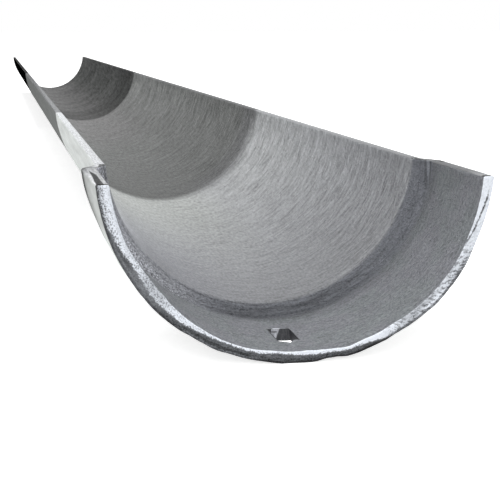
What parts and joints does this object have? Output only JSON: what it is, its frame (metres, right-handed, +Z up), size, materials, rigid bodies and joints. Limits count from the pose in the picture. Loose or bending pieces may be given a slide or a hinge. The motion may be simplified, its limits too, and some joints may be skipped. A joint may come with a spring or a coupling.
{
  "type": "half-round gutter section",
  "caption": "Cast-iron half-round rainwater gutter length: plain spigot at one end, wider joggled socket with a bolt slot at the other.",
  "frame": {"origin": "on the floor, under the middle of the length", "axes": "+Y along the gutter from the socket mouth to the spigot end, +Z up towards the open rims, X across"},
  "size_m": [0.1224, 1.882, 0.0567],
  "materials": {
    "cast_iron": "bare grey casting with fine turned streaks inside and a bright broken-grained end face"
  },
  "bodies": {
    "root": {"gutter_section": "cast_iron"}
  },
  "joints": []
}
